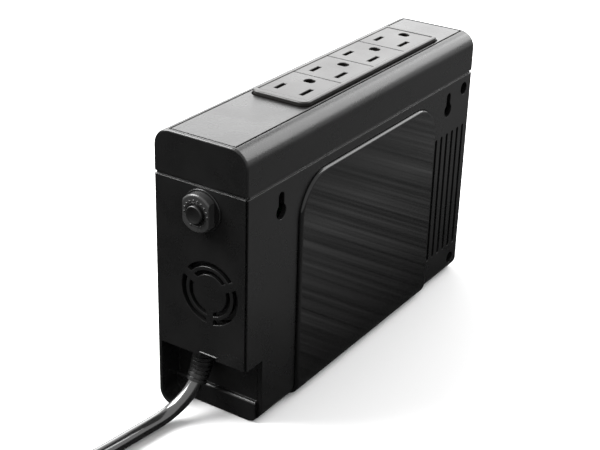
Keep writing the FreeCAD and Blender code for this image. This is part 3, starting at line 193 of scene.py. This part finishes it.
class Shader:
    """A material's node tree, with one short call for each node it needs."""

    def __init__(self, name):
        self.material = bpy.data.materials.new(name)
        self.material.use_nodes = True
        self.tree = self.material.node_tree
        self.tree.nodes.clear()
        self.output = self.node("ShaderNodeOutputMaterial")

    def node(self, kind, settings=None, **inputs):
        """A node with its settings, and each input given a value or a link."""
        made = self.tree.nodes.new(kind)
        for key, value in (settings or {}).items():
            setattr(made, key, value)
        for key, value in inputs.items():
            socket = made.inputs[key.replace("_", " ")]
            if isinstance(value, bpy.types.NodeSocket):
                self.tree.links.new(value, socket)
            else:
                socket.default_value = value
        return made

    def place(self):
        """Where a point lies on the object, in metres."""
        return self.node("ShaderNodeTexCoord").outputs["Object"]

    def stretched(self, scale, turn=(0, 0, 0)):
        """The same place, scaled and turned."""
        return self.node(
            "ShaderNodeMapping", Vector=self.place(), Scale=scale, Rotation=turn
        ).outputs["Vector"]

    def noise(self, scale, detail=2.0, where=None, roughness=0.5):
        """Cloudy noise from 0 to 1."""
        return self.node(
            "ShaderNodeTexNoise",
            Vector=where or self.place(),
            Scale=scale,
            Detail=detail,
            Roughness=roughness,
        ).outputs["Fac"]

    def span(self, value, low, high, start=0.3, end=0.7):
        """A value's range from start to end, spread over low to high."""
        made = self.node("ShaderNodeMapRange", Value=value)
        made.inputs["From Min"].default_value = start
        made.inputs["From Max"].default_value = end
        made.inputs["To Min"].default_value = low
        made.inputs["To Max"].default_value = high
        return made.outputs["Result"]

    def between(self, value, first, second):
        """A colour that goes from the first to the second with a value."""
        made = self.node("ShaderNodeMix", {"data_type": "RGBA"})
        self.tree.links.new(value, made.inputs["Factor"])
        made.inputs["A"].default_value = (*first, 1)
        made.inputs["B"].default_value = (*second, 1)
        return made.outputs["Result"]

    def towards(self, amount, value, other):
        """A value drawn part of the way towards a fixed one."""
        made = self.node("ShaderNodeMix")
        self.tree.links.new(amount, made.inputs["Factor"])
        self.tree.links.new(value, made.inputs["A"])
        made.inputs["B"].default_value = other
        return made.outputs["Result"]

    def times(self, first, second):
        """The product of two values."""
        made = self.node("ShaderNodeMath", {"operation": "MULTIPLY"})
        self.tree.links.new(first, made.inputs[0])
        self.tree.links.new(second, made.inputs[1])
        return made.outputs["Value"]

    def relief(self, height, distance, base=None):
        """A bumped normal, over another one where base is given."""
        made = self.node("ShaderNodeBump", Height=height, Distance=distance, Strength=1.0)
        if base:
            self.tree.links.new(base, made.inputs["Normal"])
        return made.outputs["Normal"]

    def softened(self, radius):
        """Normals that round every sharp edge a little."""
        return self.node("ShaderNodeBevel", {"samples": 4}, Radius=radius).outputs["Normal"]

    def done(self, **inputs):
        """Close the tree with the main shader."""
        surface = self.node("ShaderNodeBsdfPrincipled", **inputs)
        self.tree.links.new(surface.outputs["BSDF"], self.output.inputs["Surface"])
        return self.material


def grey(amount, warmth=0.0):
    """A near-grey colour, a little warm or cool."""
    return (amount * (1 + warmth), amount, amount * (1 - warmth))


def shade(colour, amount):
    """A colour made lighter or darker."""
    return tuple(part * amount for part in colour)


MOTTLE = 0.15  # how far moulded plastic's tone wanders, as a part of itself


def moulded(name, colour, roughness, grain=1400, depth=0.006, edge=0.25):
    """Moulded plastic: sparked grain, uneven gloss and slightly rounded edges."""
    shader = Shader(name)
    cloud = shader.noise(70, 4)
    fine = shader.noise(grain, 2)
    tone = shader.between(
        shader.span(cloud, 0, 1), shade(colour, 1 - MOTTLE), shade(colour, 1 + MOTTLE)
    )
    normal = shader.relief(fine, depth * MM, base=shader.softened(edge * MM))
    gloss = shader.span(cloud, roughness * 0.88, roughness * 1.12)
    return shader.done(Base_Color=tone, Roughness=gloss, Normal=normal)


def handled(name, colour, roughness):
    """Smooth plastic that hands have marked: faint smears and short fine scratches."""
    shader = Shader(name)
    smear = shader.noise(28, 5, roughness=0.65)
    scratch = shader.noise(1, 3, where=shader.stretched((2600, 90, 260), (0.2, 0.5, 0.9)))
    tone = shader.between(shader.span(smear, 0, 1), shade(colour, 0.9), shade(colour, 1.15))
    gloss = shader.span(smear, roughness * 0.6, roughness * 1.6)
    normal = shader.relief(scratch, 0.0012 * MM, base=shader.softened(0.35 * MM))
    return shader.done(Base_Color=tone, Roughness=gloss, Normal=normal)


def metal(name, colour, roughness, brushed, tarnish=0.2):
    """Bare metal, with fine lines along the axis whose number in brushed is small."""
    shader = Shader(name)
    lines = shader.noise(1, 3, where=shader.stretched(tuple(900 * b for b in brushed)))
    stain = shader.noise(160, 4)
    tone = shader.between(shader.span(stain, 0, 1), shade(colour, 1 - tarnish), colour)
    normal = shader.relief(lines, 0.004 * MM, base=shader.softened(0.12 * MM))
    gloss = shader.span(lines, roughness * 0.75, roughness * 1.3)
    return shader.done(Base_Color=tone, Roughness=gloss, Metallic=1.0, Normal=normal)


def layered(name, colour, pitch, axis, metallic, roughness, depth=0.12):
    """Fine even layers across one axis, as in stacked laminations or a wound coil."""
    shader = Shader(name)
    wave = shader.node(
        "ShaderNodeTexWave",
        {"wave_type": "BANDS", "bands_direction": axis, "wave_profile": "SIN"},
        Vector=shader.place(),
        Scale=0.314 / pitch,
        Distortion=0.4,
        Detail=2.0,
    ).outputs["Fac"]
    tone = shader.between(wave, shade(colour, 0.45), colour)
    normal = shader.relief(wave, depth * pitch, base=shader.softened(0.15 * MM))
    return shader.done(Base_Color=tone, Roughness=roughness, Metallic=metallic, Normal=normal)


def jacket(name, colour, roughness, **more):
    """A flexible lead's smooth skin: fine pores, and scuffs that change its gloss."""
    shader = Shader(name)
    scuff = shader.noise(420, 4, roughness=0.6)
    pores = shader.noise(3200, 2)
    tone = shader.between(shader.span(scuff, 0, 1), shade(colour, 0.8), shade(colour, 1.25))
    gloss = shader.span(scuff, roughness * 0.8, roughness * 1.3)
    normal = shader.relief(pores, 0.006 * MM, base=shader.softened(0.1 * MM))
    return shader.done(Base_Color=tone, Roughness=gloss, Normal=normal, **more)


def woven(name, colour):
    """A narrow woven strap: fine slanting ribs and a soft sheen."""
    shader = Shader(name)
    ribs = shader.node(
        "ShaderNodeTexWave",
        {"wave_type": "BANDS", "bands_direction": "DIAGONAL"},
        Vector=shader.place(),
        Scale=330.0,
        Distortion=1.5,
        Detail=2.0,
    ).outputs["Fac"]
    tone = shader.between(ribs, shade(colour, 0.6), shade(colour, 1.6))
    normal = shader.relief(ribs, 0.12 * MM)
    return shader.done(Base_Color=tone, Roughness=0.75, Normal=normal, Sheen_Weight=0.25)


def circuit_board():
    """Solder mask over faint copper tracks, with a glass weave beneath."""
    shader = Shader("circuit_board_green")
    upright = shader.stretched((60, 60, 60), (math.pi / 2, 0, 0))
    tracks = shader.node("ShaderNodeTexBrick", {"offset": 0.37}, Vector=upright).outputs["Fac"]
    weave = shader.noise(2400, 1)
    tone = shader.between(tracks, (0.012, 0.09, 0.035), (0.03, 0.17, 0.07))
    normal = shader.relief(weave, 0.004 * MM, base=shader.relief(tracks, 0.02 * MM))
    return shader.done(Base_Color=tone, Roughness=0.32, Normal=normal, Coat_Weight=0.4)


def fuse_glass():
    """Clear glass with a faint tint."""
    shader = Shader("fuse_glass_clear")
    ripple = shader.noise(300, 2)
    normal = shader.relief(ripple, 0.01 * MM)
    tint = shader.between(shader.span(ripple, 0, 1), (0.86, 0.93, 0.9), (0.93, 0.97, 0.95))
    return shader.done(Base_Color=tint, Roughness=0.04, Transmission_Weight=0.9, Normal=normal)


def lens():
    """A frosted indicator lens, unlit."""
    shader = Shader("lens_frosted")
    frost = shader.noise(2200, 3)
    normal = shader.relief(frost, 0.01 * MM, base=shader.softened(0.3 * MM))
    tint = shader.between(shader.span(frost, 0, 1), (0.5, 0.72, 0.55), (0.62, 0.86, 0.68))
    return shader.done(Base_Color=tint, Roughness=0.28, Transmission_Weight=0.6, Normal=normal)


# ---------------------------------------------------------------- materials

POLISHED = {  # a clear, glossy outer layer
    "Coat_Weight": 1.0,
    "Coat_Roughness": 0.12,
    "Coat_IOR": 1.75,
    "Specular_IOR_Level": 0.8,
}


def finishes():
    """One material for each of the record's slots, and one for a node of its own."""
    return {
        "case_plastic": moulded("case_black", grey(0.0078), 0.28, depth=0.030, edge=0.35),
        "inlay_plastic": moulded("inlay_black", grey(0.0080), 0.28, grain=1500, depth=0.055),
        "outlet_plastic": moulded("socket_black", grey(0.0080, 0.1), 0.30, depth=0.030, edge=0.35),
        "carrier_plastic": moulded("carrier_black", grey(0.0100), 0.42, grain=900, depth=0.012),
        "door_plastic": moulded("door_gloss", grey(0.0055), 0.05, depth=0.0004),
        "breaker_collar": handled("collar_grey", grey(0.034), 0.24),
        "breaker_plastic": handled("breaker_black", grey(0.0090), 0.26),
        "breaker_button": handled("breaker_button_black", grey(0.0040), 0.40),
        "power_button": handled("power_button_black", grey(0.0150), 0.30),
        "battery_case": moulded("battery_grey", grey(0.13, -0.04), 0.5, grain=700, depth=0.02),
        "bobbin_plastic": moulded("bobbin_black", grey(0.03), 0.5),
        "device_plastic": moulded("device_black", grey(0.018), 0.55, grain=2400, depth=0.008),
        "relay_plastic": moulded("relay_blue", (0.02, 0.07, 0.30), 0.3),
        "capacitor_sleeve": moulded("sleeve_navy", (0.010, 0.012, 0.05), 0.16, depth=0.002),
        "plug_plastic": moulded("plug_black", grey(0.009), 0.42, grain=900, depth=0.014),
        "boot_rubber": jacket("boot_rubber_black", grey(0.010), 0.24),
        "cord_jacket": jacket("cord_black", grey(0.010), 0.20, **POLISHED),
        "lead_black": jacket("lead_black", grey(0.015), 0.35),
        "lead_red": jacket("lead_red", (0.42, 0.012, 0.010), 0.35),
        "lead_green": jacket("lead_green", (0.02, 0.24, 0.05), 0.35),
        "lead_yellow": jacket("lead_yellow", (0.62, 0.42, 0.02), 0.35),
        "contact_brass": metal("brass_rolled", (0.78, 0.56, 0.24), 0.28, (0.05, 1, 1)),
        "terminal_tin": metal("tin_plate", (0.60, 0.60, 0.57), 0.34, (1, 1, 0.1)),
        "strap_steel": metal("zinc_steel", (0.50, 0.51, 0.53), 0.32, (1, 1, 0.08)),
        "sink_aluminium": metal("aluminium_extruded", (0.66, 0.67, 0.68), 0.36, (1, 0.04, 1)),
        "plug_metal": metal("nickel_brass", (0.70, 0.64, 0.46), 0.22, (0.06, 1, 1), tarnish=0.12),
        "core_steel": layered("laminations", (0.12, 0.12, 0.13), 0.5 * MM, "X", 0.7, 0.42),
        "winding": layered("copper_wound", (0.50, 0.21, 0.07), 0.6 * MM, "Z", 0.8, 0.3, depth=0.4),
        "circuit_board": circuit_board(),
        "fuse_glass": fuse_glass(),
        "lens": lens(),
    }


def paint(made):
    """Give every CAD node its own material, or else its slot's."""
    for part in frame["record"]["subparts"]:
        slots = frame["nodes"][part["node"]].data.materials
        slots.clear()
        slots.append(made.get(part["node"]) or made[part["material_slot"]])


# ---------------------------------------------------------------- hank's tie

TIE_OFFSET = -13.0 * MM  # along the hank from its middle, clear of the plug
TIE_WIDTH = 5.0 * MM
TIE_HALF = 15.2 * MM  # half its loop's breadth across the waist
TIE_OVERLAP = 15.0 * MM
TIE_RAMP = 4.0 * MM  # over which the free end climbs on to the start
TIE_CORNER = 2.6 * MM
CORNER_STEPS = 6


def tie_path():
    """The strap's line round the waist, in Y and Z: once round, then over its own start."""
    low, high = TIE_THICKNESS / 2, TIE_THICKNESS * 1.5 + HANK_PITCH * HANK_LAYERS
    corners = [(TIE_HALF, high), (TIE_HALF, low), (-TIE_HALF, low), (-TIE_HALF, high)]
    start = TIE_HALF - TIE_OVERLAP
    path = [Vector((start, high))]
    for n, (y, z) in enumerate(corners):
        inset = Vector((-math.copysign(TIE_CORNER, y), -TIE_CORNER if z == high else TIE_CORNER))
        for step in range(CORNER_STEPS + 1):
            angle = math.pi / 2 * (1 - n - step / CORNER_STEPS)
            around = TIE_CORNER * Vector((math.cos(angle), math.sin(angle)))
            path.append(Vector((y, z)) + inset + around)
    over = high + TIE_THICKNESS * 1.15
    path.append(Vector((-TIE_HALF + 2 * TIE_CORNER, high)))
    path.append(Vector((start - TIE_RAMP * 3 / 4, high)))
    path.append(Vector((start + TIE_RAMP / 4, over)))
    path.append(Vector((TIE_HALF - TIE_CORNER, over)))
    return path


def tie():
    """A flat woven strap that holds the hank at its waist."""
    path = tie_path()
    mesh = bmesh.new()
    rows = []
    for n, here in enumerate(path):
        ahead = path[min(n + 1, len(path) - 1)] - path[max(n - 1, 0)]
        out = Vector((-ahead.y, ahead.x)).normalized() * TIE_THICKNESS / 2
        row = []
        for side, across in ((1, -0.5), (1, 0.5), (-1, 0.5), (-1, -0.5)):
            y, z = here + out * side
            row.append(mesh.verts.new((TIE_OFFSET + across * TIE_WIDTH, y, z)))
        rows.append(row)
    for near, far in zip(rows, rows[1:]):
        for k in range(4):
            mesh.faces.new((near[k], near[(k + 1) % 4], far[(k + 1) % 4], far[k]))
    mesh.faces.new(reversed(rows[0]))
    mesh.faces.new(rows[-1])
    bmesh.ops.translate(mesh, verts=mesh.verts, vec=HANK_CENTRE)
    bmesh.ops.recalc_face_normals(mesh, faces=mesh.faces)
    data = bpy.data.meshes.new("hank_tie")
    mesh.to_mesh(data)
    mesh.free()
    made = bpy.data.objects.new("hank_tie", data)
    bpy.context.scene.collection.objects.link(made)
    bevel = made.modifiers.new("edges", "BEVEL")
    bevel.width = 0.2 * MM
    bevel.segments = 2
    bevel.angle_limit = math.radians(50)
    data.materials.append(woven("tie_woven", grey(0.012)))
    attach(made, "root")


# ---------------------------------------------------------------- studio

def plane(name, half, height, material):
    """A large square, level."""
    mesh = bpy.data.meshes.new(name)
    corners = [(-half, -half), (half, -half), (half, half), (-half, half)]
    mesh.from_pydata([(x, y, height) for x, y in corners], [], [(0, 1, 2, 3)])
    made = bpy.data.objects.new(name, mesh)
    bpy.context.scene.collection.objects.link(made)
    made.data.materials.append(material)
    return made


FLOOR_HALF = 30
BENCH_HALF = 4
FLOOR_DROP = 0.3 * MM  # below the object, so that nothing lies in the same plane


def floor():
    """A pale floor for the camera. Other rays meet a glowing sheet in its place, painted with a
    dark, streaked bench's reflection and with shade.
    """
    shader = Shader("floor_pale")
    cloud = shader.span(shader.noise(3, 2), 0, 1)
    pale = shader.done(
        Base_Color=shader.between(cloud, grey(0.86), grey(0.88)),
        Roughness=0.9,
        Specular_IOR_Level=0.1,
    )
    ground = plane("floor", FLOOR_HALF, -FLOOR_DROP, pale)
    ground.visible_glossy = False
    ground.visible_diffuse = False

    # Painted reflection: long streaks run along the bench. Far out on the wall side they even out.
    # Painted shade darkens the bench away from the object, and a painted shadow darkens it close
    # beside it.
    glowing_bench = Shader("painted_reflection_bench")
    broad = glowing_bench.noise(1, 6, where=glowing_bench.stretched((230, 2.6, 1)), roughness=0.66)
    fine = glowing_bench.noise(1, 3, where=glowing_bench.stretched((620, 5.0, 1)))
    painted_reflection_streaks = glowing_bench.times(glowing_bench.span(broad, 0.25, 1.2, 0.36, 0.66), glowing_bench.span(fine, 0.6, 1.25))
    place = glowing_bench.node("ShaderNodeSeparateXYZ", Vector=glowing_bench.place()).outputs
    far_off = glowing_bench.span(place["Y"], 0.7, 0.0, -165 * MM, -100 * MM)
    # Painted shadow of the object, close beside it.
    painted_shadow_beside = glowing_bench.span(place["Y"], 1.0, 0.12, -105 * MM, -32 * MM)
    # Painted shade away from the object, past its end.
    painted_shade_behind = glowing_bench.span(place["X"], 0.8, 1.0, -140 * MM, -80 * MM)
    level = glowing_bench.times(glowing_bench.towards(far_off, painted_reflection_streaks, 0.55), glowing_bench.times(painted_shadow_beside, painted_shade_behind))
    tone = glowing_bench.between(level, grey(0.012), grey(0.40))
    # The sheet glows with this painted light and lights the object from below, though it is no
    # lamp.
    glow = glowing_bench.node("ShaderNodeEmission", Color=tone, Strength=1.0)
    glowing_bench.tree.links.new(glow.outputs["Emission"], glowing_bench.output.inputs["Surface"])
    mirrored = plane("glowing_bench", BENCH_HALF, -2 * FLOOR_DROP, glowing_bench.material)
    mirrored.visible_camera = False
    mirrored.visible_transmission = False
    mirrored.visible_shadow = False
    mirrored.visible_volume_scatter = False


LIGHT_DISTANCE = 2.0
LIGHT_TARGET = Vector((0, 0, 0.1))
LIGHTS = [  # name, azimuth and elevation in degrees, width and height in metres, strength
    ("backdrop", 30, 20, 2.6, 1.3, 2.75),
    ("side", -25, 35, 1.6, 1.4, 4.1),
    ("window", 112, 42, 1.6, 1.3, 17.0),
]


def panel(name, azimuth, elevation, width, height, strength):
    """A soft light that faces the object: azimuth is measured from +X towards +Y."""
    data = bpy.data.lights.new(name, "AREA")
    data.shape = "RECTANGLE"
    data.size = width
    data.size_y = height
    data.energy = strength * math.pi * width * height
    made = bpy.data.objects.new(name, data)
    bpy.context.scene.collection.objects.link(made)
    around, up = math.radians(azimuth), math.radians(elevation)
    way = Vector((math.cos(around) * math.cos(up), math.sin(around) * math.cos(up), math.sin(up)))
    facing = way.to_track_quat("Z", "Y").to_matrix().to_4x4()
    made.matrix_world = Matrix.Translation(LIGHT_TARGET + way * LIGHT_DISTANCE) @ facing
    made.visible_camera = False


def studio():
    """A white surround, a bright backdrop, a soft side light and a window's gleam."""
    world = bpy.data.worlds.new("studio")
    world.use_nodes = True
    surround = world.node_tree.nodes["Background"].inputs
    surround["Color"].default_value = (1, 1, 1, 1)
    surround["Strength"].default_value = 0.9
    bpy.context.scene.world = world
    for light in LIGHTS:
        panel(*light)
    bpy.context.scene.view_settings.view_transform = "Standard"


# ---------------------------------------------------------------- scene

place_camera()
lead = mains_lead()
made = finishes()
lead.data.materials.append(made["cord_jacket"])
tie()
paint(made)
floor()
studio()
